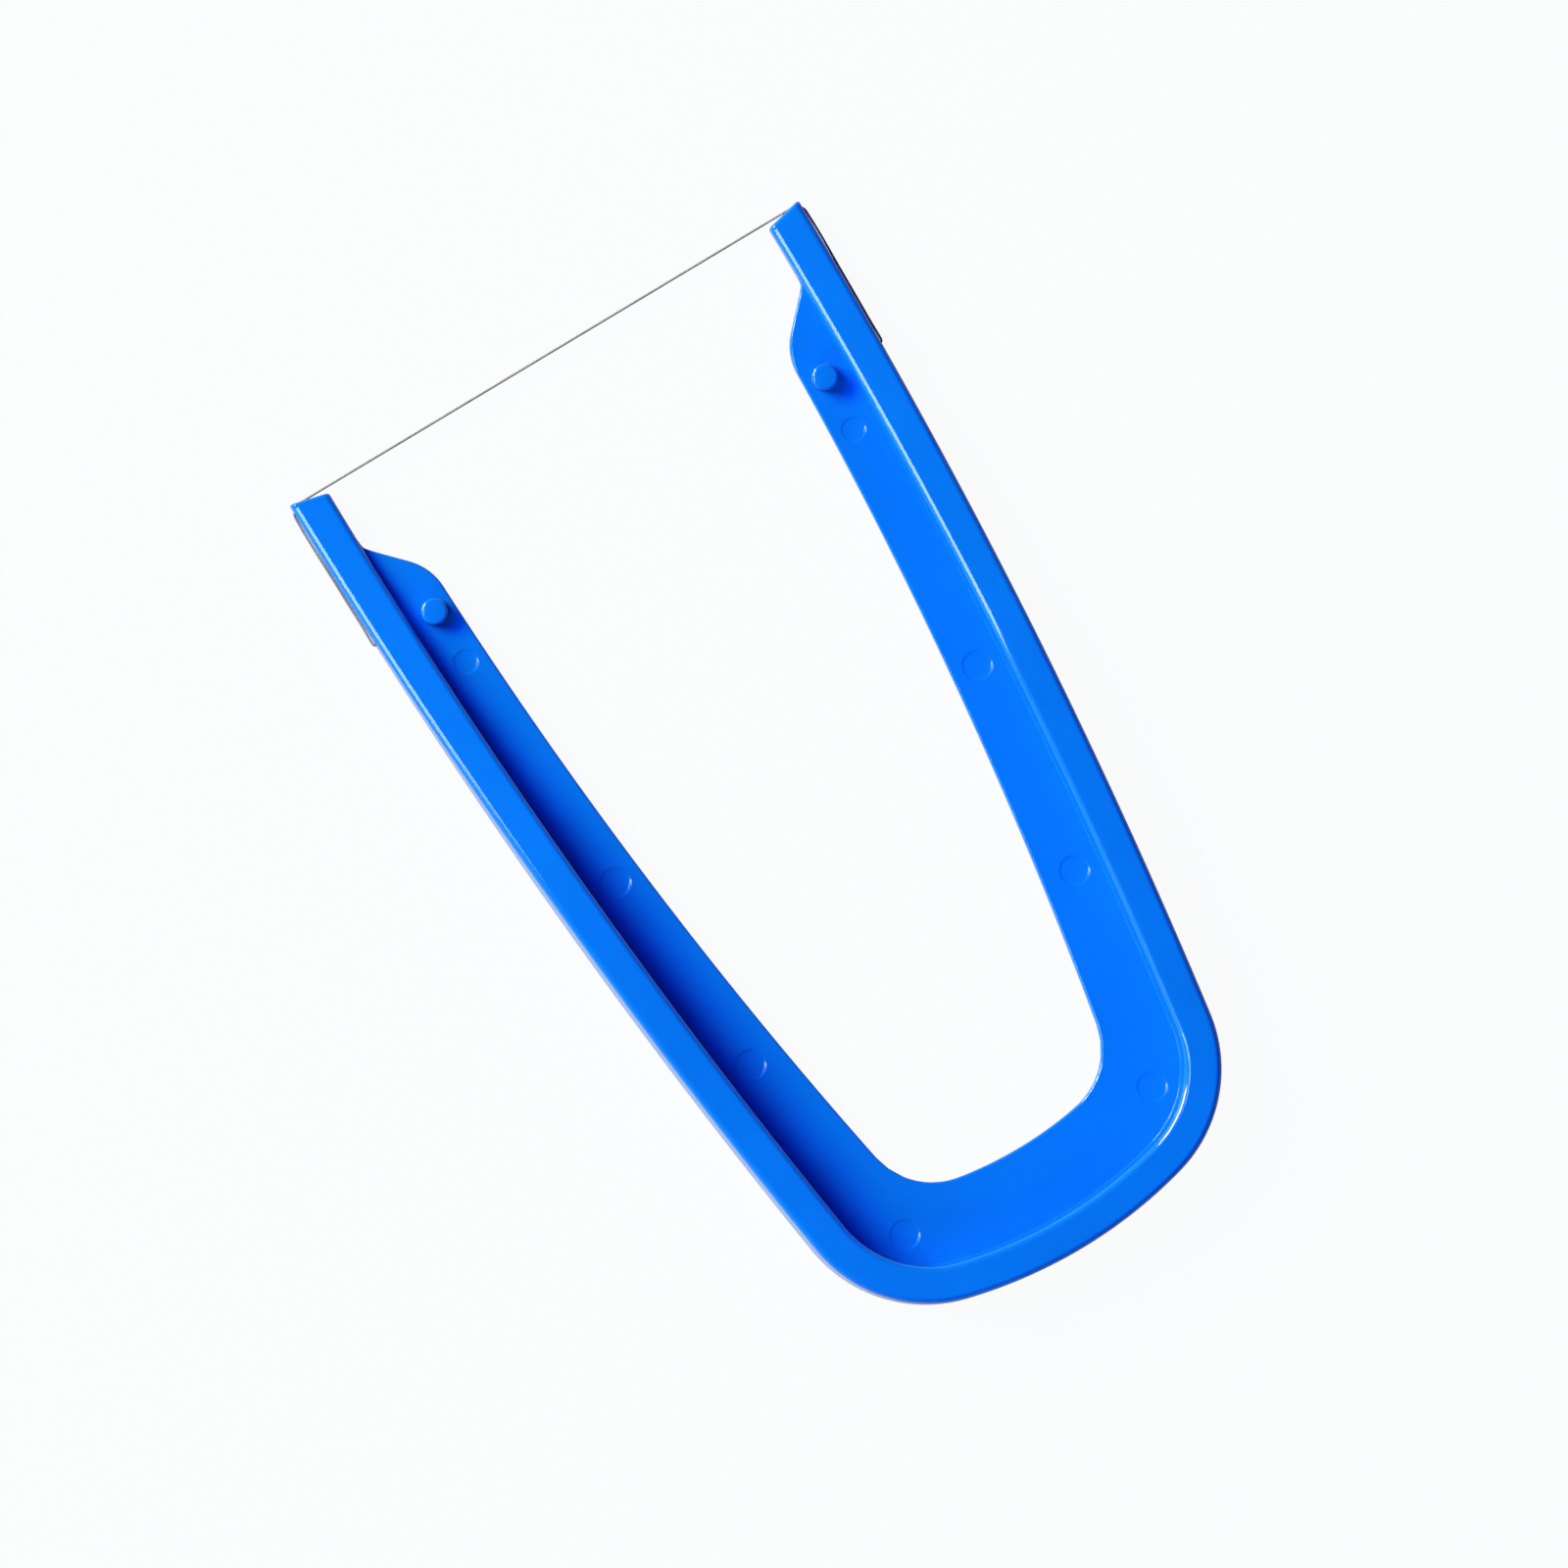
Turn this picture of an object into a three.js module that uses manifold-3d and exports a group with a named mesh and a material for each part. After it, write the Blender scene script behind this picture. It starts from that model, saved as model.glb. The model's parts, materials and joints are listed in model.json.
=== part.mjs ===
// Arched clay cutter: a moulded U-shaped bow that holds a taut cutting wire across its mouth.
// Millimetres, +Z up. The bow lies on its flat front face with its recessed side up, its mouth
// towards +Y and the wire along X. Plan sizes are measured down from the tips, where Y is 0,
// and the finished group is moved so that its origin is under the middle of its box.

import * as THREE from 'three';
import { mergeVertices } from 'three/addons/utils/BufferGeometryUtils.js';
import Module from 'manifold-3d';

const wasm = await Module();
wasm.setup();

const { degToRad } = THREE.MathUtils;

// Outline of the bow on its front face
const MOUTH_WIDTH = 90.5;
const BOW_LENGTH = 159.2;
const OUTER_TAPER = 13.2; // how far each arm comes in by the level of the base
const OUTER_CORNER_RADIUS = 22.4;
const OUTER_BASE_RADIUS = 74;

// Raised rim along the outline, lower at the tips
const RIM_WIDTH = 6.2;
const RIM_HEIGHT = 10;
const TIP_HEIGHT = 3.5;
const RISE_LENGTH = 74; // from the tips to where the rim has its full height
const RIM_DRAFT = 0.3; // lean of each side over the full height
const RIM_FILLET = 1;
const FRONT_FILLET = 0.5; // on the edges of the front face
const TIP_SLOPE = degToRad(13.5);

// Web inside the rim
const WEB_THICKNESS = 2.6;
const WEB_MOUTH_WIDTH = 7.25;
const WEB_BASE_WIDTH = 11.9;
const WEB_FILLET = 0.4;
const INNER_TAPER = 14.1; // how far each inner edge comes in by the level of the base
const INNER_CORNER_RADIUS = 11.5;
const INNER_BASE_RADIUS = 60;
const WEB_END_DROP = 11.5; // from the tips to where the web leaves the rim
const WEB_END_SLOPE = degToRad(46);
const WEB_END_RADIUS = 9;

// Shallow round marks of the mould's ejectors, on one line with the anchor pins
const FEATURE_LINE = 4; // from the rim's inner side to the centres of the marks and pins
const MARK_DIAMETER = 5;
const TIP_MARK_DIAMETER = 4.1; // the pair nearest to the tips
const MARK_DEPTH = 0.1;
const MARKS_BELOW_TIPS = [34.3, 74.8];
const MARKS_ABOVE_BASE = [50, 15.7];

// Cutting wire
const WIRE_DIAMETER = 0.35;
const WIRE_HEIGHT = 1.3;
const WIRE_DROP = 0.55; // from the tips to the taut span
const WIRE_CLEARANCE = 0.25;
const WIRE_BEND_RADIUS = 0.6;
const WIRE_WRAP = degToRad(300);

// Anchor pins that lock the wire's ends in the web
const PIN_DROP = 25.2; // from the tips to the pins
const PIN_DIAMETER = 4.1;
const PIN_HEIGHT = 2.4; // above the web
const PIN_FILLET = 0.5;
const PIN_CLEARANCE = 0.15;
const PIN_END_CLEARANCE = 0.3;
const BORE_FLOOR = 0.6;

// Fineness of the facets
const ARM_STEPS = 16;
const CORNER_STEPS = 8;
const BASE_STEPS = 6;
const FILLET_STEPS = 3;
const TAIL_STEPS = 10;
const BEND_STEPS = 4;
const LOOP_STEPS = 15;
const SPAN_STEPS = 8;
const WIRE_SIDES = 8;
const ROUND_SIDES = 32;
const CUT_MARGIN = 1;
const CORNER_ROOM = 0.97; // most of an arch's half width that a corner may take
const SAME_POINT = 1e-6;

const PLASTIC_BLUE = 0x0779f5;
const STEEL_GREY = 0xa8a29c;

const wireRadius = WIRE_DIAMETER / 2;
const wireChannelRadius = wireRadius + WIRE_CLEARANCE;
const boreRadius = PIN_DIAMETER / 2 + PIN_CLEARANCE;
const loopRadius = boreRadius - wireChannelRadius;
const shankRadius = loopRadius - wireChannelRadius;

const polar = (centre, radius, angle) =>
  new THREE.Vector2(Math.cos(angle), Math.sin(angle)).multiplyScalar(radius).add(centre);

const mirrored = (point) => new THREE.Vector2(-point.x, point.y);

function arcPoints(centre, radius, from, to, steps) {
  return Array.from({ length: steps + 1 }, (_, i) => polar(centre, radius, from + ((to - from) * i) / steps));
}

// A U outline of three tangent arcs on each side: arm, corner and base.
function makeArch({ halfWidth, depth, taper, cornerRadius, baseRadius }) {
  const armRadius = (depth ** 2 + taper ** 2) / (2 * taper);
  const roundRadius = Math.min(cornerRadius, CORNER_ROOM * (halfWidth - taper));
  const armCentre = new THREE.Vector2(halfWidth - armRadius, 0);
  const baseCentre = new THREE.Vector2(0, baseRadius - depth);
  const reach = armRadius - roundRadius;
  const lift = baseRadius - roundRadius;
  const line = baseCentre.clone().sub(armCentre);
  const distance = line.length();
  const along = (reach ** 2 - lift ** 2 + distance ** 2) / (2 * distance);
  const across = Math.sqrt(reach ** 2 - along ** 2);
  const turn = Math.atan2(across, along);
  const cornerCentre = polar(armCentre, reach, line.angle() - turn);
  const start = Math.atan2(cornerCentre.y - armCentre.y, cornerCentre.x - armCentre.x);
  const end = Math.atan2(cornerCentre.y - baseCentre.y, cornerCentre.x - baseCentre.x);
  return {
    arm: { centre: armCentre, radius: armRadius, from: 0, to: start, steps: ARM_STEPS },
    corner: { centre: cornerCentre, radius: roundRadius, from: start, to: end, steps: CORNER_STEPS },
    base: { centre: baseCentre, radius: baseRadius, from: end, to: -Math.PI / 2, steps: BASE_STEPS },
  };
}

// The point of an arch's right-hand arm or corner at an inset from it and a height y.
function archPoint({ arm, corner }, inset, y) {
  const armEnd = polar(arm.centre, arm.radius - inset, arm.to);
  const { centre, radius } = y >= armEnd.y ? arm : corner;
  return polar(centre, radius - inset, Math.asin((y - centre.y) / (radius - inset)));
}

// Stations from the right tip round the base to the left tip, each a point and its inward normal.
function archStations({ arm, corner, base }) {
  const right = [arm, corner, base].flatMap(({ centre, radius, from, to, steps }, k) => {
    const points = arcPoints(centre, radius, from, to, steps).slice(k === 0 ? 0 : 1);
    return points.map((point) => ({ point, normal: centre.clone().sub(point).normalize() }));
  });
  const flip = ({ point, normal }) => ({ point: mirrored(point), normal: mirrored(normal) });
  return [...right, ...right.slice(0, -1).map(flip).reverse()];
}

// A counter-clockwise section with each corner rounded by its own radius.
function roundSection(corners, radii, steps) {
  return corners.flatMap((corner, i) => {
    const radius = radii[i];
    const back = corners.at(i - 1).clone().sub(corner).normalize();
    const ahead = corners[(i + 1) % corners.length].clone().sub(corner).normalize();
    const half = Math.acos(back.dot(ahead)) / 2;
    const centre = back.clone().add(ahead).setLength(radius / Math.sin(half)).add(corner);
    const start = back.clone().setLength(radius / Math.tan(half)).add(corner).sub(centre).angle();
    return arcPoints(centre, radius, start, start + Math.PI - 2 * half, steps);
  });
}

// A closed solid through plan stations. Each section's x runs along its station's normal, its y along Z.
function sweep(stations) {
  const count = stations[0].section.length;
  const positions = stations.flatMap(({ point, normal, section }) =>
    section.flatMap(({ x, y }) => [point.x + x * normal.x, point.y + x * normal.y, y]));
  const faces = [];
  for (let i = 0; i < stations.length - 1; i += 1) {
    for (let j = 0; j < count; j += 1) {
      const [a, b] = [i * count + j, i * count + ((j + 1) % count)];
      faces.push(a, a + count, b + count, a, b + count, b);
    }
  }
  const lastRing = (stations.length - 1) * count;
  for (const [a, b, c] of THREE.ShapeUtils.triangulateShape(stations[0].section, [])) {
    faces.push(a, b, c, lastRing + a, lastRing + c, lastRing + b);
  }
  const geometry = new THREE.BufferGeometry();
  geometry.setAttribute('position', new THREE.Float32BufferAttribute(positions, 3));
  geometry.setIndex(faces);
  return geometry;
}

function toSolid(geometry) {
  geometry.deleteAttribute('normal');
  geometry.deleteAttribute('uv');
  const merged = mergeVertices(geometry);
  return new wasm.Manifold(new wasm.Mesh({
    numProp: 3,
    vertProperties: new Float32Array(merged.attributes.position.array),
    triVerts: new Uint32Array(merged.index.array),
  }));
}

function toGeometry(solid) {
  const { vertProperties, triVerts } = solid.getMesh();
  const geometry = new THREE.BufferGeometry();
  geometry.setAttribute('position', new THREE.Float32BufferAttribute(vertProperties, 3));
  geometry.setIndex(Array.from(triVerts));
  geometry.computeVertexNormals();
  return geometry;
}

const outerArch = makeArch({
  halfWidth: MOUTH_WIDTH / 2,
  depth: BOW_LENGTH,
  taper: OUTER_TAPER,
  cornerRadius: OUTER_CORNER_RADIUS,
  baseRadius: OUTER_BASE_RADIUS,
});

const innerArch = makeArch({
  halfWidth: MOUTH_WIDTH / 2 - RIM_WIDTH - WEB_MOUTH_WIDTH,
  depth: BOW_LENGTH - RIM_WIDTH - WEB_BASE_WIDTH,
  taper: INNER_TAPER,
  cornerRadius: INNER_CORNER_RADIUS,
  baseRadius: INNER_BASE_RADIUS,
});

const featureInset = RIM_WIDTH + FEATURE_LINE;
const pinPoint = archPoint(outerArch, featureInset, -PIN_DROP);

// The rim's drafted, rounded section at a drop from the tips.
function rimSection(drop) {
  const height = Math.min(RIM_HEIGHT, TIP_HEIGHT + ((RIM_HEIGHT - TIP_HEIGHT) * drop) / RISE_LENGTH);
  const lean = (RIM_DRAFT * height) / RIM_HEIGHT;
  const corners = [
    new THREE.Vector2(0, 0),
    new THREE.Vector2(RIM_WIDTH, 0),
    new THREE.Vector2(RIM_WIDTH - lean, height),
    new THREE.Vector2(lean, height),
  ];
  return roundSection(corners, [FRONT_FILLET, FRONT_FILLET, RIM_FILLET, RIM_FILLET], FILLET_STEPS);
}

// The rim along the outline, with end faces that fall away inwards.
function makeRim() {
  const stations = archStations(outerArch)
    .map((station) => ({ ...station, section: rimSection(-station.point.y) }));
  for (const tip of [stations.at(0), stations.at(-1)]) {
    tip.normal.y -= Math.tan(TIP_SLOPE);
  }
  return sweep(stations);
}

// The slanted end of the web on the right arm, from inside the rim to the inner edge.
function webEnd() {
  const leave = archPoint(outerArch, RIM_WIDTH, -WEB_END_DROP);
  const direction = new THREE.Vector2(-Math.cos(WEB_END_SLOPE), -Math.sin(WEB_END_SLOPE));
  const inRim = leave.clone().addScaledVector(direction, -RIM_WIDTH / 2);
  const below = new THREE.Vector2(-direction.y, direction.x);
  const track = leave.clone().addScaledVector(below, WEB_END_RADIUS).sub(innerArch.arm.centre);
  const swing = innerArch.arm.radius + WEB_END_RADIUS;
  const run = track.dot(direction);
  const travel = -run - Math.sqrt(run ** 2 - track.lengthSq() + swing ** 2);
  const centre = track.clone().addScaledVector(direction, travel).add(innerArch.arm.centre);
  const from = below.clone().negate().angle();
  const to = innerArch.arm.centre.clone().sub(centre).angle();
  return [inRim, ...arcPoints(centre, WEB_END_RADIUS, from, to, CORNER_STEPS)];
}

// The web: a plate from the middle of the rim to the inner edge, with that edge rounded.
function makeWeb() {
  const end = webEnd();
  const edgeTop = end.at(-1).y;
  const edge = archStations(innerArch).map(({ point }) => point).filter(({ y }) => y < edgeTop - CUT_MARGIN);
  const back = archStations(outerArch)
    .map(({ point, normal }) => point.clone().addScaledVector(normal, RIM_WIDTH / 2))
    .filter(({ y }) => y < end[0].y - CUT_MARGIN);
  const outline = [...end, ...edge, ...end.map(mirrored).reverse(), ...back.reverse()];
  const plate = new THREE.ExtrudeGeometry(new THREE.Shape(outline), {
    depth: WEB_THICKNESS - 2 * WEB_FILLET,
    bevelThickness: WEB_FILLET,
    bevelSize: WEB_FILLET,
    bevelOffset: -WEB_FILLET,
    bevelSegments: FILLET_STEPS,
  });
  return plate.translate(0, 0, WEB_FILLET);
}

// An upright round cutter that starts at a floor height and runs out above the web.
function roundCutter(radius, floor, { x, y }) {
  const height = WEB_THICKNESS + CUT_MARGIN - floor;
  const cutter = new THREE.CylinderGeometry(radius, radius, height, ROUND_SIDES);
  return cutter.rotateX(Math.PI / 2).translate(x, y, floor + height / 2);
}

// The channel from an anchor bore out through the rim, for the wire's tail.
function tailChannel({ x, y }, side) {
  const length = MOUTH_WIDTH / 2 + CUT_MARGIN - x;
  const cutter = new THREE.CylinderGeometry(wireChannelRadius, wireChannelRadius, length, WIRE_SIDES);
  return cutter.rotateZ(Math.PI / 2).translate(side * (x + length / 2), y, WIRE_HEIGHT);
}

// The notch in a tip's end face that seats the wire.
function tipNotch(side) {
  const width = RIM_WIDTH + 2 * CUT_MARGIN;
  const depth = WIRE_DROP + wireChannelRadius + CUT_MARGIN;
  const cutter = new THREE.BoxGeometry(width, depth, 2 * wireChannelRadius);
  const middle = (MOUTH_WIDTH - RIM_WIDTH) / 2;
  return cutter.translate(side * middle, CUT_MARGIN - depth / 2, WIRE_HEIGHT);
}

function makeBow() {
  const heights = [
    ...MARKS_BELOW_TIPS.map((drop) => -drop),
    ...MARKS_ABOVE_BASE.map((rise) => rise - BOW_LENGTH),
  ];
  const marks = heights.map((y, i) => {
    const radius = (i === 0 ? TIP_MARK_DIAMETER : MARK_DIAMETER) / 2;
    return { point: archPoint(outerArch, featureInset, y), radius };
  });
  const cutters = [1, -1].flatMap((side) => {
    const onSide = (point) => (side > 0 ? point : mirrored(point));
    return [
      ...marks.map(({ point, radius }) => roundCutter(radius, WEB_THICKNESS - MARK_DEPTH, onSide(point))),
      roundCutter(boreRadius, BORE_FLOOR, onSide(pinPoint)),
      tailChannel(pinPoint, side),
      tipNotch(side),
    ];
  });
  const blank = toSolid(makeRim()).add(toSolid(makeWeb()));
  return toGeometry(cutters.reduce((solid, cutter) => solid.subtract(toSolid(cutter)), blank));
}

// The right half of the wire's route: a hook round the pin's shank, out through the rim,
// up the outside of the arm and over the tip.
function wireHalf() {
  const { centre, radius } = outerArch.arm;
  const wallInset = (RIM_DRAFT * WIRE_HEIGHT) / RIM_HEIGHT;
  const tailRadius = radius - wallInset + wireChannelRadius;
  const tailAngle = (y) => Math.asin(y / tailRadius);
  const tailFoot = polar(centre, tailRadius, tailAngle(pinPoint.y + WIRE_BEND_RADIUS));
  const tailHead = polar(centre, tailRadius, tailAngle(-WIRE_DROP - WIRE_BEND_RADIUS));
  const entryAngle = Math.asin(WIRE_BEND_RADIUS / (loopRadius + WIRE_BEND_RADIUS));
  const entry = polar(pinPoint, loopRadius + WIRE_BEND_RADIUS, entryAngle);
  const exit = new THREE.Vector2(tailFoot.x - WIRE_BEND_RADIUS, tailFoot.y);
  const tip = new THREE.Vector2(tailHead.x - WIRE_BEND_RADIUS, tailHead.y);
  const down = -Math.PI / 2;
  const tailFrom = tailAngle(tailFoot.y);
  const tailTo = tailAngle(tailHead.y);
  return [
    ...arcPoints(pinPoint, loopRadius, entryAngle + WIRE_WRAP, entryAngle, LOOP_STEPS),
    ...arcPoints(entry, WIRE_BEND_RADIUS, entryAngle - Math.PI, down, BEND_STEPS),
    ...arcPoints(exit, WIRE_BEND_RADIUS, down, 0, BEND_STEPS),
    ...arcPoints(centre, tailRadius, tailFrom, tailTo, TAIL_STEPS),
    ...arcPoints(tip, WIRE_BEND_RADIUS, 0, Math.PI / 2, BEND_STEPS),
  ];
}

function makeWire() {
  const half = wireHalf();
  const spanEnd = half.at(-1);
  const span = Array.from({ length: SPAN_STEPS - 1 }, (_, i) =>
    spanEnd.clone().lerp(mirrored(spanEnd), (i + 1) / SPAN_STEPS));
  const route = [...half, ...span, ...half.map(mirrored).reverse()]
    .filter((point, i, all) => i === 0 || point.distanceTo(all[i - 1]) > SAME_POINT);
  const middle = new THREE.Vector2(0, WIRE_HEIGHT);
  const section = arcPoints(middle, wireRadius, 0, 2 * Math.PI, WIRE_SIDES).slice(1);
  return sweep(route.map((point, i) => {
    const ahead = route[Math.min(i + 1, route.length - 1)];
    const heading = ahead.clone().sub(route[Math.max(i - 1, 0)]).normalize();
    return { point, normal: new THREE.Vector2(heading.y, -heading.x), section };
  }));
}

// An anchor pin: a peg that stands on the web, with a thinner shank for the wire's hook below it.
function makePin() {
  const radius = PIN_DIAMETER / 2;
  const foot = BORE_FLOOR + PIN_END_CLEARANCE;
  const shoulder = WIRE_HEIGHT + wireChannelRadius;
  const top = WEB_THICKNESS + PIN_HEIGHT;
  const fillet = new THREE.Vector2(radius - PIN_FILLET, top - PIN_FILLET);
  const profile = [
    new THREE.Vector2(0, foot),
    new THREE.Vector2(shankRadius, foot),
    new THREE.Vector2(shankRadius, shoulder),
    new THREE.Vector2(radius, shoulder),
    ...arcPoints(fillet, PIN_FILLET, 0, Math.PI / 2, FILLET_STEPS),
    new THREE.Vector2(0, top),
  ];
  return new THREE.LatheGeometry(profile, ROUND_SIDES).rotateX(Math.PI / 2);
}

const plastic = new THREE.MeshStandardMaterial({ color: PLASTIC_BLUE, roughness: 0.3, metalness: 0 });
const steel = new THREE.MeshStandardMaterial({ color: STEEL_GREY, roughness: 0.35, metalness: 1 });

const cutter = new THREE.Group();

function addPart(name, geometry, material, { x, y } = { x: 0, y: 0 }) {
  const mesh = new THREE.Mesh(geometry, material.clone());
  mesh.name = name;
  mesh.position.set(x, y, 0);
  cutter.add(mesh);
}

addPart('bow_frame', makeBow(), plastic);
addPart('cutting_wire', makeWire(), steel);
addPart('left_anchor_pin', makePin(), plastic, mirrored(pinPoint));
addPart('right_anchor_pin', makePin(), plastic, pinPoint);
cutter.position.y = BOW_LENGTH / 2;

export default cutter;
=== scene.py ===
# Arched clay cutter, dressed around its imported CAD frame.
# +Z up. The bow lies on its flat front face with its recessed side up, its mouth towards +Y
# and the wire along X. The pieces are built in millimetres, with plan points measured from the
# level of the tips as on the CAD model, and go into the shared frame's metres when they are
# dressed. Materials, studio and camera are in metres.

import json
import math
from collections import namedtuple

import bmesh
import bpy
from mathutils import Color, Matrix, Vector
from mathutils.geometry import intersect_line_line_2d


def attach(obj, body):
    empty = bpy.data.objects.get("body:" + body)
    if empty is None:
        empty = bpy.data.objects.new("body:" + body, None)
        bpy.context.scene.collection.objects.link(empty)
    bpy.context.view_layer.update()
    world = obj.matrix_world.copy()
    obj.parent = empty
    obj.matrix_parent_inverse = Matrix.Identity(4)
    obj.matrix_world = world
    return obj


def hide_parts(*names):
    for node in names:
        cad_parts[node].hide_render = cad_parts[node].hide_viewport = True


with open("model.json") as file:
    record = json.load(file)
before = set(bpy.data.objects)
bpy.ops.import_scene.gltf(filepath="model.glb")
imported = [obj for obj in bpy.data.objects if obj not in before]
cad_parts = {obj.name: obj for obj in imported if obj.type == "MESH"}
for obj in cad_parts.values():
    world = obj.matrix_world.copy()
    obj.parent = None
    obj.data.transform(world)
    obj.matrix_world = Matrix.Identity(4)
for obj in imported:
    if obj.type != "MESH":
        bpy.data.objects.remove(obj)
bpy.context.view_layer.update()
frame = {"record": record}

MM = 0.001

# Outline of the bow on its front face
MOUTH_WIDTH = 90.5
BOW_LENGTH = 159.2
OUTER_TAPER = 13.2  # how far an arm's arc comes in by the level of the base
OUTER_CORNER_RADIUS = 22.4
OUTER_BASE_RADIUS = 74

# Raised rim along the outline, lower at the tips
RIM_WIDTH = 6.2
RIM_HEIGHT = 10
TIP_HEIGHT = 3.5
RISE_LENGTH = 74  # drop from the tips at which the rim reaches its full height
RISE_BLEND = 1.8  # softness of the bend at that drop
RIM_DRAFT = 0.3  # how far each side of the rim comes in by its full height
RIM_FILLET = 1
FRONT_FILLET = 0.5
ROOT_FILLET = 0.08
SPARE_LEVEL = 1.5  # height of the web's points on the rim's inner side where there is no web
TIP_SLOPE = math.radians(13.5)  # slant of the tips' end faces
TIP_FILLET = 0.5
TIP_SLANT_END = 12  # drop from the tips at which the sections stand square to the outline

# Web inside the rim
WEB_THICKNESS = 2.6
WEB_MOUTH_WIDTH = 7.25
WEB_BASE_WIDTH = 11.9
WEB_FILLET = 0.4
INNER_TAPER = 14.1
INNER_CORNER_RADIUS = 11.5
INNER_BASE_RADIUS = 60
WEB_END_DROP = 11.5
WEB_END_SLOPE = math.radians(46)
WEB_END_RADIUS = 9
WEB_BLEND = 0.25  # softness of the corner where the web leaves the rim
LEAST_LEDGE = 0.04  # a web narrower than this is left out

# Shallow round marks of the mould's ejectors, on one line with the anchor pins
FEATURE_LINE = 4  # from the rim's inner side
MARK_RADIUS = 2.5
TIP_MARK_RADIUS = 2.05
MARK_DEPTH = 0.1
MARK_EDGE = 0.5  # width of a mark's soft edge
MARKS_BELOW_TIPS = (34.3, 74.8)
MARKS_ABOVE_BASE = (50, 15.7)

# Cutting wire: its tails stand off the arms by these gaps at these drops from the tips
WIRE_RADIUS = 0.175
WIRE_HEIGHT = 1.3
WIRE_BEND_RADIUS = 0.6
TIP_BEND_RADIUS = 1.7
WIRE_WRAP = math.radians(300)  # how far each end hooks round its pin
WIRE_DROP = 0.55  # from the tips to the middle of the wire
WIRE_SEAT = 0.03  # room between the wire and its groove
HOOK_RADIUS = 1.775
TAIL_GAPS = (
    (1, 0.03),
    (6.2, 0.1),
    (13.2, 0.04),
    (21, 0.05),
    (24.6, 0.12),
)

# Anchor pins that lock the wire's ends in the web
PIN_DROP = 25.2
PIN_RADIUS = 2.05
PIN_SHANK_RADIUS = 1.35
PIN_FOOT = 0.9
PIN_SHOULDER = 1.725
PIN_TOP = 5
PIN_FILLET = 0.5
BORE_RADIUS = 2.07
BORE_FLOOR = 0.6

# Fineness of the meshes
TIP_ZONE = 26  # length of the finely divided stretch at each tip
TIP_SPACING = 0.5
ARM_SPACING = 2.5
CORNER_SPACING = 0.8
BASE_SPACING = 1.5
EDGE_SPACING = 0.25
WIRE_SPACING = 0.12
TAIL_SPACING = 0.5
SPAN_SPACING = 4
FILLET_STEPS = 5
WIRE_SIDES = 16
ROUND_SIDES = 64
CUT_MARGIN = 1
SAME_POINT = 0.0005  # points closer than this are one
SHARP_ANGLE = math.radians(50)

tip_level = BOW_LENGTH / 2
feature_inset = RIM_WIDTH + FEATURE_LINE
cut_top = WEB_THICKNESS + CUT_MARGIN

Arc = namedtuple("Arc", "centre radius start end")
Station = namedtuple("Station", "point inward drop")


def polar(centre, radius, angle):
    return centre + radius * Vector((math.cos(angle), math.sin(angle)))


def mirrored(point):
    return Vector((-point.x, point.y))


def raised(point, height):
    """A plan point, measured from the tips, as a point of the shared frame."""
    return Vector((point.x, point.y + tip_level, height))


def arc_points(arc, spacing):
    steps = math.ceil(abs(arc.end - arc.start) * arc.radius / spacing)
    turn = (arc.end - arc.start) / steps
    return [polar(arc.centre, arc.radius, arc.start + turn * k) for k in range(steps + 1)]


def angle_of(vector):
    return math.atan2(vector.y, vector.x)


def make_arch(half_width, depth, taper, corner_radius, base_radius):
    """The right half of a U outline, as three tangent arcs: arm, corner and base."""
    arm_radius = (depth**2 + taper**2) / (2 * taper)
    arm_centre = Vector((half_width - arm_radius, 0))
    base_centre = Vector((0, base_radius - depth))
    # The corner's centre lies at reach from the arm's centre and at lift from the base's
    reach = arm_radius - corner_radius
    lift = base_radius - corner_radius
    line = base_centre - arm_centre
    along = (reach**2 - lift**2 + line.length_squared) / (2 * line.length)
    turn = math.acos(along / reach)
    corner_centre = polar(arm_centre, reach, angle_of(line) - turn)
    start = angle_of(corner_centre - arm_centre)
    end = angle_of(corner_centre - base_centre)
    return (
        Arc(arm_centre, arm_radius, 0, start),
        Arc(corner_centre, corner_radius, start, end),
        Arc(base_centre, base_radius, end, -math.pi / 2),
    )


def arch_point(arch, inset, y):
    """The point of an arch's arm or corner at an inset from it and a height y."""
    arm, corner, _ = arch
    arm_end = polar(arm.centre, arm.radius - inset, arm.end)
    arc = arm if y >= arm_end.y else corner
    radius = arc.radius - inset
    return polar(arc.centre, radius, math.asin((y - arc.centre.y) / radius))


outer_arch = make_arch(
    MOUTH_WIDTH / 2, BOW_LENGTH, OUTER_TAPER, OUTER_CORNER_RADIUS, OUTER_BASE_RADIUS
)
inner_arch = make_arch(
    MOUTH_WIDTH / 2 - RIM_WIDTH - WEB_MOUTH_WIDTH,
    BOW_LENGTH - RIM_WIDTH - WEB_BASE_WIDTH,
    INNER_TAPER,
    INNER_CORNER_RADIUS,
    INNER_BASE_RADIUS,
)
pin_point = arch_point(outer_arch, feature_inset, -PIN_DROP)


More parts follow.
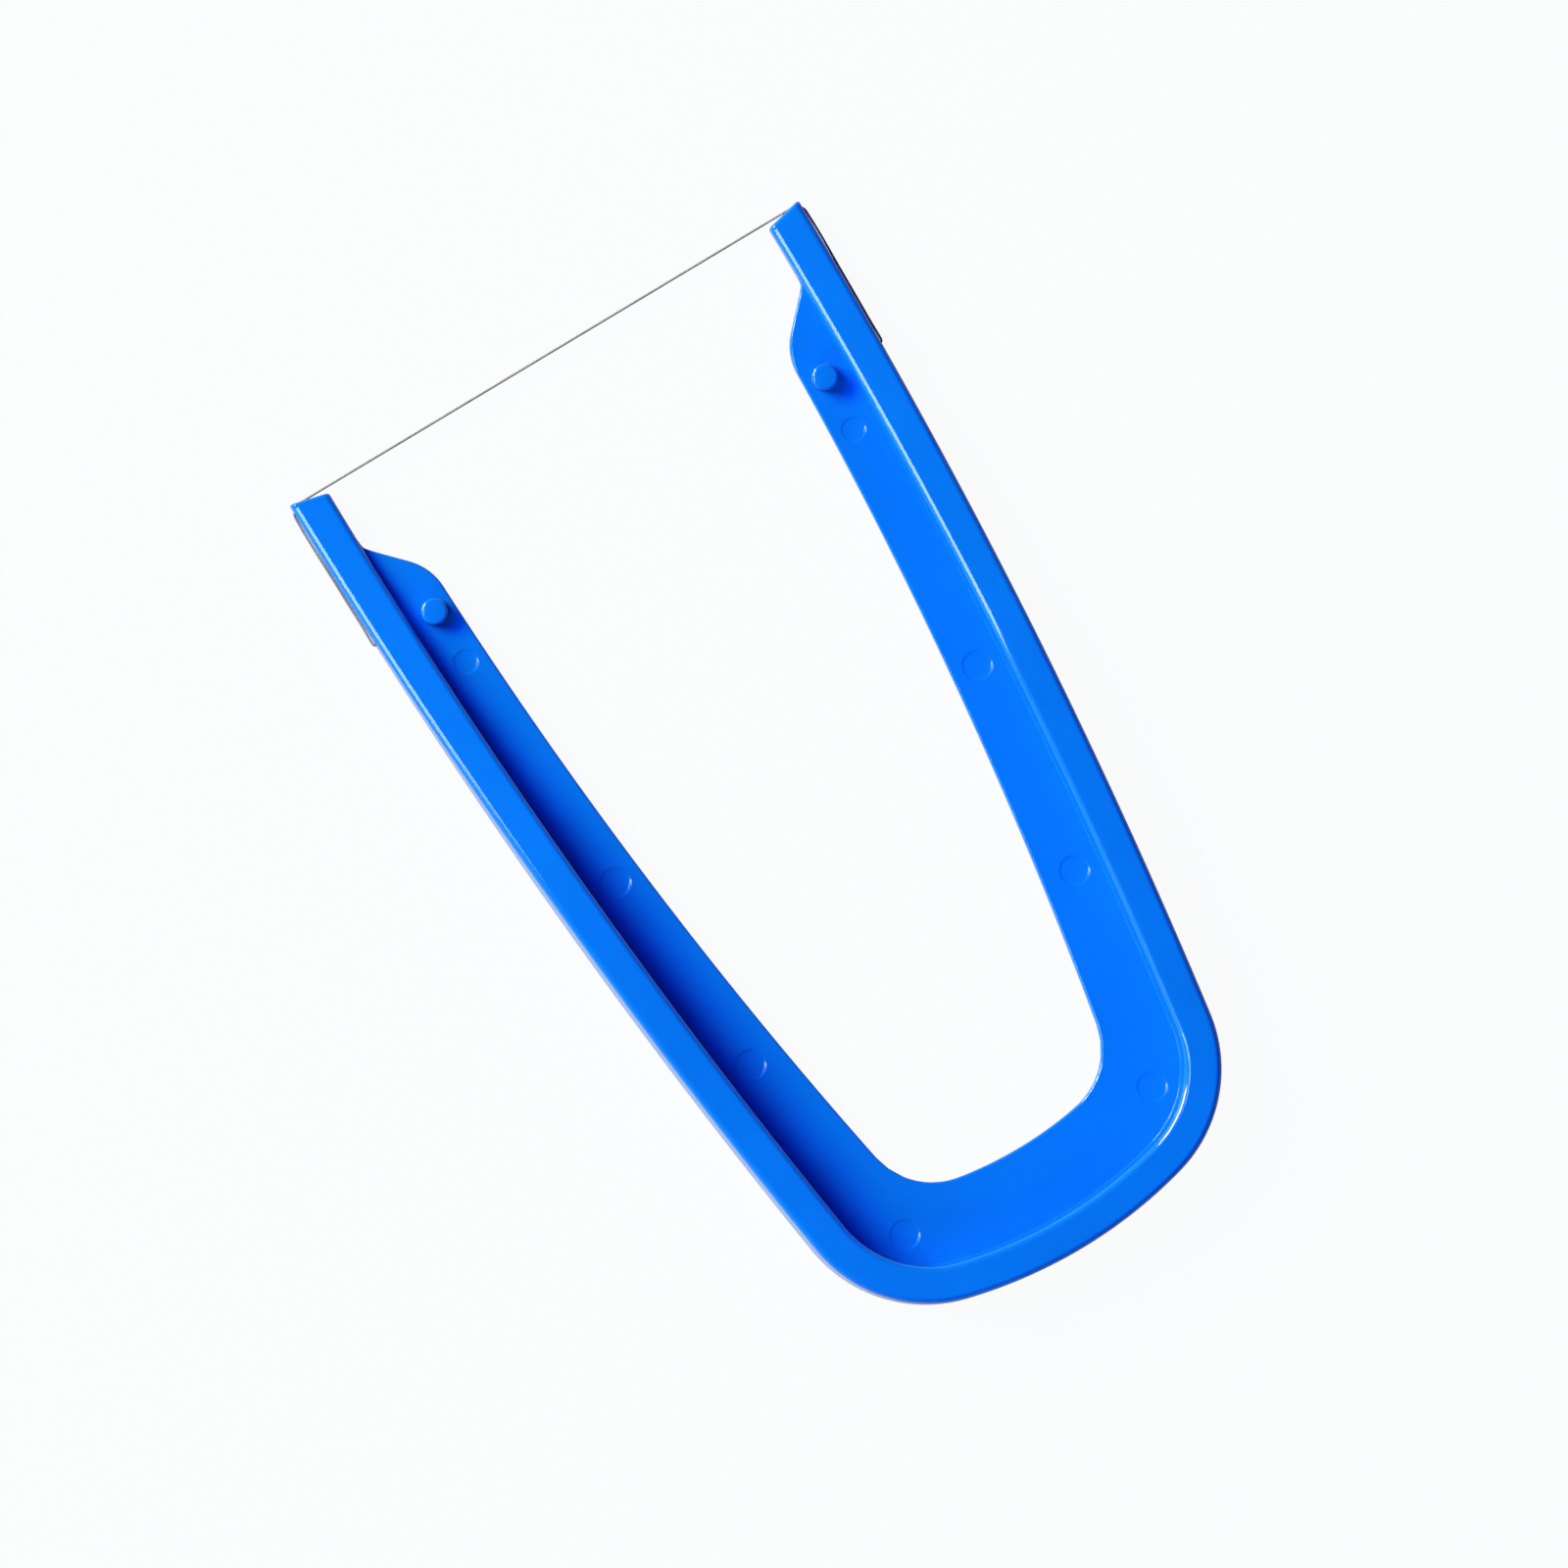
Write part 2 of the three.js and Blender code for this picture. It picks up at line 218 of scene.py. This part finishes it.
def web_edge():
    """The right half of the web's inner edge, from inside the rim to the middle of the base."""
    arm, corner, base = inner_arch
    leave = arch_point(outer_arch, RIM_WIDTH, -WEB_END_DROP)
    heading = Vector((-math.cos(WEB_END_SLOPE), -math.sin(WEB_END_SLOPE)))
    below = Vector((-heading.y, heading.x))
    # The arc at the web's end touches its slope from below and the inner arm from outside
    track = leave + below * WEB_END_RADIUS - arm.centre
    swing = arm.radius + WEB_END_RADIUS
    run = track.dot(heading)
    travel = -run - math.sqrt(run**2 - track.length_squared + swing**2)
    centre = arm.centre + track + heading * travel
    end = Arc(centre, WEB_END_RADIUS, angle_of(-below), angle_of(arm.centre - centre))
    meeting = Arc(arm.centre, arm.radius, angle_of(centre - arm.centre), arm.end)
    points = [leave - heading * RIM_WIDTH]
    for arc in (end, meeting, corner, base):
        points += arc_points(arc, EDGE_SPACING)
    return [*points, mirrored(points[-2])]


def outline_stations():
    """Stations down the right half of the outline, from the tip to the middle of the base."""
    arm, corner, base = outer_arch
    zone = -TIP_ZONE / arm.radius
    stretches = (
        (arm._replace(end=zone), TIP_SPACING),
        (arm._replace(start=zone), ARM_SPACING),
        (corner, CORNER_SPACING),
        (base, BASE_SPACING),
    )
    stations = []
    for arc, spacing in stretches:
        for point in arc_points(arc, spacing):
            stations.append(Station(point, (arc.centre - point).normalized(), -point.y))
    # Where one stretch ends at the drop that the next one starts from, one station is kept
    pairs = zip(stations, stations[1:])
    return [station for station, after in pairs if station.drop != after.drop] + stations[-1:]


def rounded(corners):
    """A ring of points along (point, radius) corners, each rounded by the same number of steps."""
    ring = []
    for i, (corner, radius) in enumerate(corners):
        back = (corners[i - 1][0] - corner).normalized()
        ahead = (corners[(i + 1) % len(corners)][0] - corner).normalized()
        half = back.angle(ahead) / 2
        centre = corner + (back + ahead).normalized() * radius / math.sin(half)
        first = corner + back * radius / math.tan(half) - centre
        turn = math.copysign(math.pi - 2 * half, -back.cross(ahead))
        for k in range(FILLET_STEPS + 1):
            ring.append(centre + Matrix.Rotation(turn * k / FILLET_STEPS, 2) @ first)
    return ring


def soft_positive(value, softness):
    """A value, or zero where it is negative, with a soft bend in between."""
    return (value + math.hypot(value, 2 * softness)) / 2


def rim_height(drop):
    slope = (RIM_HEIGHT - TIP_HEIGHT) / RISE_LENGTH
    return RIM_HEIGHT - slope * soft_positive(RISE_LENGTH - drop, RISE_BLEND)


def lean(height):
    """How far the rim's drafted sides come in by a height."""
    return RIM_DRAFT * height / RIM_HEIGHT


def web_ledge(station, edge):
    """How far the web stands in from the rim's inner side at a station."""
    far = station.point + station.inward * MOUTH_WIDTH / 2
    for start, end in zip(edge, edge[1:]):
        hit = intersect_line_line_2d(station.point, far, start, end)
        if hit:
            past = (hit - station.point).length - RIM_WIDTH + lean(WEB_THICKNESS)
            ledge = soft_positive(past, WEB_BLEND)
            return ledge if ledge > LEAST_LEDGE else 0
    return 0


def bow_section(top, ledge, trim=0.0):
    """The bow's section in (inset, height), drawn in by trim where the tips are rounded off."""

    def wall(height):
        return RIM_WIDTH - lean(height) - trim

    rim_fillet = max(RIM_FILLET - trim, SAME_POINT)
    front_fillet = max(FRONT_FILLET - trim, SAME_POINT)
    web = root = WEB_THICKNESS
    if ledge == 0:
        web = SPARE_LEVEL
        root = SPARE_LEVEL + ROOT_FILLET
    edge = wall(web) + ledge
    share = min(1, ledge / WEB_FILLET)
    corners = (
        ((trim, trim), front_fillet),
        ((max(edge, wall(0)), trim), front_fillet + (WEB_FILLET - front_fillet) * share),
        ((edge, web), min(WEB_FILLET, ledge / 2)),
        ((wall(root), root), min(ROOT_FILLET, ledge / 2)),
        ((wall(top), top - trim), rim_fillet),
        ((lean(top) + trim, top - trim), rim_fillet),
    )
    return rounded([(Vector(point), radius) for point, radius in corners])


def bow_rings():
    """Sections along the whole outline, with the rounded tips at both ends."""
    stations = outline_stations()
    edge = web_edge()
    tip = stations[0]
    rows = []
    for k in range(FILLET_STEPS):
        angle = math.pi / 2 * k / FILLET_STEPS
        drop = TIP_FILLET * (1 - math.cos(angle))
        point = Vector((arch_point(outer_arch, 0, -drop).x, -drop))
        ring = bow_section(rim_height(drop), 0, TIP_FILLET * (1 - math.sin(angle)))
        rows.append((Station(point, tip.inward, drop), ring))
    for station in stations:
        if station.drop >= TIP_FILLET:
            ring = bow_section(rim_height(station.drop), web_ledge(station, edge))
            rows.append((station, ring))
    half = []
    for station, ring in rows:
        slant = math.tan(TIP_SLOPE) * max(0, 1 - station.drop / TIP_SLANT_END)
        across = station.inward - Vector((0, slant))
        half.append([(station.point + across * inset, height) for inset, height in ring])
    right = [[raised(point, height) for point, height in ring] for ring in half]
    left = [[raised(mirrored(point), height) for point, height in ring] for ring in half]
    return right + left[-2::-1]


def make_object(name, data):
    made = bpy.data.objects.new(name, data)
    bpy.context.scene.collection.objects.link(made)
    return made


def loft(name, rings):
    """A closed solid through rings of points, with a flat cap at each end."""
    shape = bmesh.new()
    levels = [[shape.verts.new(point) for point in ring] for ring in rings]
    for near, far in zip(levels, levels[1:]):
        for j in range(len(near)):
            k = (j + 1) % len(near)
            shape.faces.new((near[j], far[j], far[k], near[k]))
    shape.faces.new(levels[0])
    shape.faces.new(reversed(levels[-1]))
    bmesh.ops.remove_doubles(shape, verts=shape.verts, dist=SAME_POINT)
    bmesh.ops.recalc_face_normals(shape, faces=shape.faces)
    mesh = bpy.data.meshes.new(name)
    shape.to_mesh(mesh)
    shape.free()
    return make_object(name, mesh)


def lathe(name, profile, centre):
    """A closed solid of (radius, height) points turned about an upright axis through a plan point."""
    # The half step keeps a bore's corners off the centre line of the wire's groove, where a cut fails
    turns = [2 * math.pi * (k + 0.5) / ROUND_SIDES for k in range(ROUND_SIDES)]
    rings = []
    for radius, height in profile:
        rings.append([raised(polar(centre, radius, turn), height) for turn in turns])
    return loft(name, rings)


def tube(name, route, radius):
    """A round rod of a given radius along a plan route at the wire's height."""
    rings = []
    for i, point in enumerate(route):
        heading = (route[min(i + 1, len(route) - 1)] - route[max(i - 1, 0)]).normalized()
        across = Vector((heading.y, -heading.x))
        ring = []
        for k in range(WIRE_SIDES):
            angle = 2 * math.pi * k / WIRE_SIDES
            offset = across * radius * math.cos(angle)
            ring.append(raised(point + offset, WIRE_HEIGHT + radius * math.sin(angle)))
        rings.append(ring)
    return loft(name, rings)


def mark_profile(mark_radius):
    """A shallow dish with a soft edge, open above the web."""
    floor = WEB_THICKNESS - MARK_DEPTH
    profile = [(0, floor)]
    for k in range(FILLET_STEPS + 1):
        share = k / FILLET_STEPS
        rise = MARK_DEPTH * (1 - math.cos(math.pi * share)) / 2
        profile.append((mark_radius - MARK_EDGE * (1 - share), floor + rise))
    return [*profile, (mark_radius, cut_top), (0, cut_top)]


def bore_profile():
    """A plain round hole for a pin, open above the web."""
    return [(0, BORE_FLOOR), (BORE_RADIUS, BORE_FLOOR), (BORE_RADIUS, cut_top), (0, cut_top)]


def pin_profile():
    """A peg with a rounded top, on a thinner shank that the wire hooks round."""
    profile = [
        (0, PIN_FOOT),
        (PIN_SHANK_RADIUS, PIN_FOOT),
        (PIN_SHANK_RADIUS, PIN_SHOULDER),
        (PIN_RADIUS, PIN_SHOULDER),
    ]
    for k in range(FILLET_STEPS + 1):
        angle = math.pi / 2 * k / FILLET_STEPS
        radius = PIN_RADIUS - PIN_FILLET * (1 - math.cos(angle))
        profile.append((radius, PIN_TOP - PIN_FILLET * (1 - math.sin(angle))))
    return [*profile, (0, PIN_TOP)]


def tail_point(drop):
    """The centre of the wire's tail beside the right arm at a drop from the tip."""
    arm = outer_arch[0]
    above_drop, above_gap = max((row for row in TAIL_GAPS if row[0] <= drop), default=TAIL_GAPS[0])
    below_drop, below_gap = min((row for row in TAIL_GAPS if row[0] > drop), default=TAIL_GAPS[-1])
    span = max(below_drop - above_drop, SAME_POINT)
    share = (1 - math.cos(math.pi * (drop - above_drop) / span)) / 2
    gap = above_gap + (below_gap - above_gap) * share
    radius = arm.radius - lean(WIRE_HEIGHT) + WIRE_RADIUS + gap
    return polar(arm.centre, radius, math.asin(-drop / radius))


def wire_tail():
    """Out through the rim from the right pin, up the outside of the arm and over the tip."""
    head = WIRE_DROP + TIP_BEND_RADIUS
    foot = PIN_DROP - WIRE_BEND_RADIUS
    steps = math.ceil((foot - head) / TAIL_SPACING)
    tail = [tail_point(foot + (head - foot) * k / steps) for k in range(steps + 1)]
    exit_centre = tail[0] - Vector((WIRE_BEND_RADIUS, 0))
    tip_centre = tail[-1] - Vector((TIP_BEND_RADIUS, 0))
    exit_bend = Arc(exit_centre, WIRE_BEND_RADIUS, -math.pi / 2, 0)
    tip_bend = Arc(tip_centre, TIP_BEND_RADIUS, 0, math.pi / 2)
    return [
        *arc_points(exit_bend, WIRE_SPACING)[:-1],
        *tail,
        *arc_points(tip_bend, WIRE_SPACING)[1:],
    ]


def wire_hook():
    """Round the right pin's shank and out towards the rim."""
    entry_angle = math.asin(WIRE_BEND_RADIUS / (HOOK_RADIUS + WIRE_BEND_RADIUS))
    entry = polar(pin_point, HOOK_RADIUS + WIRE_BEND_RADIUS, entry_angle)
    loop = Arc(pin_point, HOOK_RADIUS, entry_angle + WIRE_WRAP, entry_angle)
    bend = Arc(entry, WIRE_BEND_RADIUS, entry_angle - math.pi, -math.pi / 2)
    return [*arc_points(loop, WIRE_SPACING)[:-1], *arc_points(bend, WIRE_SPACING)]


def wire_route():
    """The whole wire, from the hook on the right pin to the one on the left."""
    half = [*wire_hook(), *wire_tail()]
    end = half[-1]
    steps = math.ceil(2 * end.x / SPAN_SPACING)
    span = [end.lerp(mirrored(end), k / steps) for k in range(1, steps)]
    return [*half, *span, *[mirrored(point) for point in reversed(half)]]


def carve(piece, cutters):
    """Cuts the cutters out of a piece's mesh, and deletes them."""
    for cutter in cutters:
        cut = piece.modifiers.new("cut", "BOOLEAN")
        cut.operation = "DIFFERENCE"
        cut.solver = "EXACT"
        cut.object = cutter
    graph = bpy.context.evaluated_depsgraph_get()
    piece.data = bpy.data.meshes.new_from_object(piece.evaluated_get(graph))
    piece.modifiers.clear()
    for cutter in cutters:
        bpy.data.objects.remove(cutter)


def make_bow():
    """The moulding, with the ejector marks, the pins' bores and the wire's groove cut on both sides."""
    bow = loft("bow", bow_rings())
    drops = [*MARKS_BELOW_TIPS, *[BOW_LENGTH - rise for rise in MARKS_ABOVE_BASE]]
    radii = [TIP_MARK_RADIUS] + [MARK_RADIUS] * (len(drops) - 1)
    groove = [pin_point, *wire_tail(), Vector((0, -WIRE_DROP))]
    cutters = []
    for on_side in (Vector, mirrored):
        for drop, radius in zip(drops, radii):
            spot = on_side(arch_point(outer_arch, feature_inset, -drop))
            cutters.append(lathe("mark cutter", mark_profile(radius), spot))
        cutters.append(lathe("bore cutter", bore_profile(), on_side(pin_point)))
        route = [on_side(point) for point in groove]
        cutters.append(tube("groove cutter", route, WIRE_RADIUS + WIRE_SEAT))
    carve(bow, cutters)
    return bow


# Materials

Noise = namedtuple("Noise", "size detail stretch", defaults=((1, 1, 1),))

NOISE_RANGE = (0.3, 0.7)  # most of a noise's values lie in this range

PIGMENT = Noise(14 * MM, 3)
PEEL = Noise(5 * MM, 1)
PEEL_DEPTH = 0.03 * MM
PEEL_STRENGTH = 0.1
GRAIN = Noise(1.2 * MM, 2)
GRAIN_DEPTH = 0.002 * MM
GRAIN_STRENGTH = 0.02
PLASTIC_SHADES = (0.95, 1.04)
PLASTIC_ROUGHNESS = (0.08, 0.1)
PLASTIC_IOR = 1.6

TARNISH = Noise(3 * MM, 3)
SCRATCHES = Noise(0.04 * MM, 2, (50, 1, 1))
SCRATCH_DEPTH = 0.004 * MM
SCRATCH_STRENGTH = 0.3
STEEL_SHADES = (0.88, 1.12)
STEEL_ROUGHNESS = (0.5, 0.65)

FIBRES = Noise(2 * MM, 3)
PAPER_COLOUR = (0.4, 0.52, 0.56)
PAPER_SHADES = (0.99, 1)
PAPER_GLOW = 0.95  # share of white glow in what the camera sees of the paper
MIRRORED_GLOW = 0.3  # its share in what reflections see

finishes = {row["slot"]: row["base_color"] for row in frame["record"]["materials"]}


def linear(slot):
    """A finish's colour from the record, as a linear colour."""
    return Color(finishes[slot]).from_srgb_to_scene_linear()


def node_material(name):
    material = bpy.data.materials.new(name)
    material.use_nodes = True
    return material, material.node_tree, material.node_tree.nodes["Principled BSDF"]


def add_noise(tree, kind):
    """Noise with features of its kind's size and stretch, in the object's own coordinates."""
    place = tree.nodes.new("ShaderNodeTexCoord")
    mapping = tree.nodes.new("ShaderNodeMapping")
    mapping.inputs["Scale"].default_value = [1 / (kind.size * stretch) for stretch in kind.stretch]
    noise = tree.nodes.new("ShaderNodeTexNoise")
    noise.inputs["Scale"].default_value = 1
    noise.inputs["Detail"].default_value = kind.detail
    tree.links.new(place.outputs["Object"], mapping.inputs["Vector"])
    tree.links.new(mapping.outputs["Vector"], noise.inputs["Vector"])
    return noise.outputs["Fac"]


def add_range(tree, value, low, high):
    """Spreads a noise value over a range."""
    spread = tree.nodes.new("ShaderNodeMapRange")
    spread.inputs["From Min"].default_value = NOISE_RANGE[0]
    spread.inputs["From Max"].default_value = NOISE_RANGE[1]
    spread.inputs["To Min"].default_value = low
    spread.inputs["To Max"].default_value = high
    tree.links.new(value, spread.inputs["Value"])
    return spread.outputs["Result"]


def add_shades(tree, value, colour, shades):
    """A colour that goes from its darker to its lighter shade by a noise value."""
    blend = tree.nodes.new("ShaderNodeMix")
    blend.data_type = "RGBA"
    for socket, shade in zip("AB", shades):
        blend.inputs[socket].default_value = (*[shade * channel for channel in colour], 1)
    tree.links.new(add_range(tree, value, 0, 1), blend.inputs["Factor"])
    return blend.outputs["Result"]


def add_bump(tree, value, depth, strength, under=None):
    """Bumps by a noise value, on top of the bumps under them if there are any."""
    bump = tree.nodes.new("ShaderNodeBump")
    bump.inputs["Strength"].default_value = strength
    bump.inputs["Distance"].default_value = depth
    tree.links.new(value, bump.inputs["Height"])
    if under:
        tree.links.new(under, bump.inputs["Normal"])
    return bump.outputs["Normal"]


def moulded_plastic(slot):
    """Glossy plastic: cloudy pigment, a faint orange peel and a fine grain in the gloss."""
    material, tree, shader = node_material(slot)
    pigment = add_noise(tree, PIGMENT)
    peel = add_noise(tree, PEEL)
    grain = add_noise(tree, GRAIN)
    colour = add_shades(tree, pigment, linear(slot), PLASTIC_SHADES)
    roughness = add_range(tree, grain, *PLASTIC_ROUGHNESS)
    waves = add_bump(tree, peel, PEEL_DEPTH, PEEL_STRENGTH)
    surface = add_bump(tree, grain, GRAIN_DEPTH, GRAIN_STRENGTH, waves)
    tree.links.new(colour, shader.inputs["Base Color"])
    tree.links.new(roughness, shader.inputs["Roughness"])
    tree.links.new(surface, shader.inputs["Normal"])
    shader.inputs["IOR"].default_value = PLASTIC_IOR
    return material


def drawn_steel(slot):
    """Thin drawn wire: brownish grey, with fine scratches along X."""
    material, tree, shader = node_material(slot)
    tarnish = add_noise(tree, TARNISH)
    scratches = add_noise(tree, SCRATCHES)
    colour = add_shades(tree, tarnish, linear(slot), STEEL_SHADES)
    roughness = add_range(tree, scratches, *STEEL_ROUGHNESS)
    surface = add_bump(tree, scratches, SCRATCH_DEPTH, SCRATCH_STRENGTH)
    tree.links.new(colour, shader.inputs["Base Color"])
    tree.links.new(roughness, shader.inputs["Roughness"])
    tree.links.new(surface, shader.inputs["Normal"])
    shader.inputs["Metallic"].default_value = 1
    return material


def floor_paper():
    """Paper that glows white for the camera, less so in reflections, and still takes the shadow."""
    material, tree, shader = node_material("white_paper")
    tree.nodes.remove(shader)
    paper = tree.nodes.new("ShaderNodeBsdfDiffuse")
    colour = add_shades(tree, add_noise(tree, FIBRES), PAPER_COLOUR, PAPER_SHADES)
    tree.links.new(colour, paper.inputs["Color"])
    glow = tree.nodes.new("ShaderNodeEmission")
    path = tree.nodes.new("ShaderNodeLightPath")
    shares = (
        ("Is Camera Ray", PAPER_GLOW),
        ("Is Glossy Ray", MIRRORED_GLOW),
        ("Is Transmission Ray", MIRRORED_GLOW),
    )
    mix = tree.nodes.new("ShaderNodeMixShader")
    seen = None
    for ray, share in shares:
        part = tree.nodes.new("ShaderNodeMath")
        part.operation = "MULTIPLY_ADD"
        part.inputs[1].default_value = share
        part.inputs[2].default_value = 0
        tree.links.new(path.outputs[ray], part.inputs[0])
        if seen:
            tree.links.new(seen, part.inputs[2])
        seen = part.outputs["Value"]
    tree.links.new(seen, mix.inputs["Fac"])
    tree.links.new(paper.outputs["BSDF"], mix.inputs[1])
    tree.links.new(glow.outputs["Emission"], mix.inputs[2])
    output = tree.nodes["Material Output"]
    tree.links.new(mix.outputs["Shader"], output.inputs["Surface"])
    return material


# The cutter's pieces


def smooth(piece):
    """Smooth shading that leaves flat faces flat and sharp edges sharp."""
    piece.data.shade_smooth()
    piece.data.set_sharp_from_angle(angle=SHARP_ANGLE)
    weighted = piece.modifiers.new("flat faces", "WEIGHTED_NORMAL")
    weighted.keep_sharp = True


def dress(piece, node, material):
    """Brings a piece from millimetres into the shared frame, in place of a CAD node."""
    piece.data.transform(Matrix.Scale(MM, 4))
    smooth(piece)
    piece.data.materials.clear()
    piece.data.materials.append(material)
    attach(piece, "root")
    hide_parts(node)


bow_plastic = moulded_plastic("bow_plastic")
pin_plastic = moulded_plastic("pin_plastic")
wire_steel = drawn_steel("wire_steel")

dress(make_bow(), "bow_frame", bow_plastic)
dress(tube("wire", wire_route(), WIRE_RADIUS), "cutting_wire", wire_steel)
for side, spot in (("left", mirrored(pin_point)), ("right", pin_point)):
    pin = lathe(f"{side}_pin", pin_profile(), spot)
    dress(pin, f"{side}_anchor_pin", pin_plastic)


# Studio

Light = namedtuple("Light", "direction across size power colour diffuse glossy", defaults=(True, True))

FLOOR_LEVEL = -0.05 * MM
FLOOR_RADIUS = 9
SWEEP_RADIUS = 1.5
SWEEP_STEPS = 12
FLOOR_SIDES = 96

STUDIO_CENTRE = Vector((0, 0, 0))
LIGHT_DISTANCE = 3.5
LIGHTS = {
    # Low and warm, from the tips' left
    "key": Light(
        direction=Vector((-0.95, 1.5, 1)),
        across=Vector((1.5, 0.95, 0)),
        size=(1.9, 1.1),
        power=214,
        colour=(1, 0.9, 0.3),
    ),
    # Higher and blue, from the tips' left
    "fill": Light(
        direction=Vector((-0.48, 0.72, 1)),
        across=Vector((1, 0, 0)),
        size=(2, 1.5),
        power=89,
        colour=(0.02, 0.12, 1),
    ),
    # Low and pale, from the base's left, with no highlight of its own
    "side": Light(
        direction=Vector((-0.9, -0.5, 0.6)),
        across=Vector((0.5, -0.9, 0)),
        size=(2.5, 1.2),
        power=45,
        colour=(0.3, 0.78, 0.92),
        glossy=False,
    ),
    # Narrow, from the left, and seen in the gloss alone
    "strip": Light(
        direction=Vector((-0.7, 0.218, 1)),
        across=Vector((-0.06, 1, -0.04)),
        size=(0.39, 3.6),
        power=40,
        colour=(0.75, 1, 1),
        diffuse=False,
    ),
}

SKY_ZENITH = 0.07
SKY_HORIZON = 0.18
SKY_COLOUR = (0.08, 0.25, 1, 1)

# The photograph: its frame, and how the object lies in it
PHOTO_SIDE = 1600
PIXELS_PER_METRE = 6.7 / MM
PHOTO_TURN = math.radians(-30.946)
PHOTO_CENTRE = Vector((-2.32, 4.41, 0)) * MM
VIEW_DIRECTION = Vector((0.0463, -0.0194, -1))
CAMERA_DISTANCE = 5
SENSOR_WIDTH = 36  # in millimetres, as Blender gives a camera's sensor and lens


def make_floor():
    """A round floor whose edge sweeps up into a low backdrop."""
    shape = bmesh.new()
    middle = shape.verts.new((0, 0, FLOOR_LEVEL))
    rings = []
    for k in range(SWEEP_STEPS + 1):
        angle = math.pi / 2 * k / SWEEP_STEPS
        radius = FLOOR_RADIUS + SWEEP_RADIUS * math.sin(angle)
        height = FLOOR_LEVEL + SWEEP_RADIUS * (1 - math.cos(angle))
        ring = []
        for j in range(FLOOR_SIDES):
            around = 2 * math.pi * j / FLOOR_SIDES
            point = (radius * math.cos(around), radius * math.sin(around), height)
            ring.append(shape.verts.new(point))
        rings.append(ring)
    for j in range(FLOOR_SIDES):
        k = (j + 1) % FLOOR_SIDES
        shape.faces.new((middle, rings[0][j], rings[0][k]))
        for low, high in zip(rings, rings[1:]):
            shape.faces.new((low[j], high[j], high[k], low[k]))
    mesh = bpy.data.meshes.new("floor")
    shape.to_mesh(mesh)
    shape.free()
    mesh.shade_smooth()
    mesh.materials.append(floor_paper())
    return make_object("floor", mesh)


def aim(made, target, direction, across, distance):
    """Sets a light or camera off in a direction from its target, with its own X about along across."""
    back = direction.normalized()
    up = back.cross(across).normalized()
    turn = Matrix((up.cross(back), up, back)).transposed()
    made.matrix_world = Matrix.LocRotScale(target + back * distance, turn, None)


def add_light(name, light):
    """A soft rectangle of light that faces the object."""
    data = bpy.data.lights.new(name, "AREA")
    data.shape = "RECTANGLE"
    data.size, data.size_y = light.size
    data.energy = light.power
    data.color = light.colour
    lamp = make_object(name, data)
    aim(lamp, STUDIO_CENTRE, light.direction, light.across, LIGHT_DISTANCE)
    lamp.visible_camera = False
    lamp.visible_diffuse = light.diffuse
    lamp.visible_glossy = light.glossy


def make_sky():
    """A bluish sky that is dim overhead and brighter towards the horizon."""
    world = bpy.data.worlds.new("studio")
    world.use_nodes = True
    tree = world.node_tree
    place = tree.nodes.new("ShaderNodeTexCoord")
    split = tree.nodes.new("ShaderNodeSeparateXYZ")
    fade = tree.nodes.new("ShaderNodeMapRange")
    fade.inputs["To Min"].default_value = SKY_HORIZON
    fade.inputs["To Max"].default_value = SKY_ZENITH
    tree.links.new(place.outputs["Generated"], split.inputs["Vector"])
    tree.links.new(split.outputs["Z"], fade.inputs["Value"])
    sky = tree.nodes["Background"]
    sky.inputs["Color"].default_value = SKY_COLOUR
    tree.links.new(fade.outputs["Result"], sky.inputs["Strength"])
    bpy.context.scene.world = world


def make_camera():
    """The photograph's view: from nearly overhead, a little to the left and the tips' side."""
    data = bpy.data.cameras.new("camera")
    data.sensor_width = SENSOR_WIDTH
    data.lens = SENSOR_WIDTH * CAMERA_DISTANCE * PIXELS_PER_METRE / PHOTO_SIDE
    camera = make_object("camera", data)
    right = Vector((math.cos(PHOTO_TURN), math.sin(PHOTO_TURN), 0))
    aim(camera, PHOTO_CENTRE, -VIEW_DIRECTION, right, CAMERA_DISTANCE)
    bpy.context.scene.camera = camera


make_floor()
for name, light in LIGHTS.items():
    add_light(name, light)
make_sky()
make_camera()
bpy.context.scene.view_settings.view_transform = "Standard"
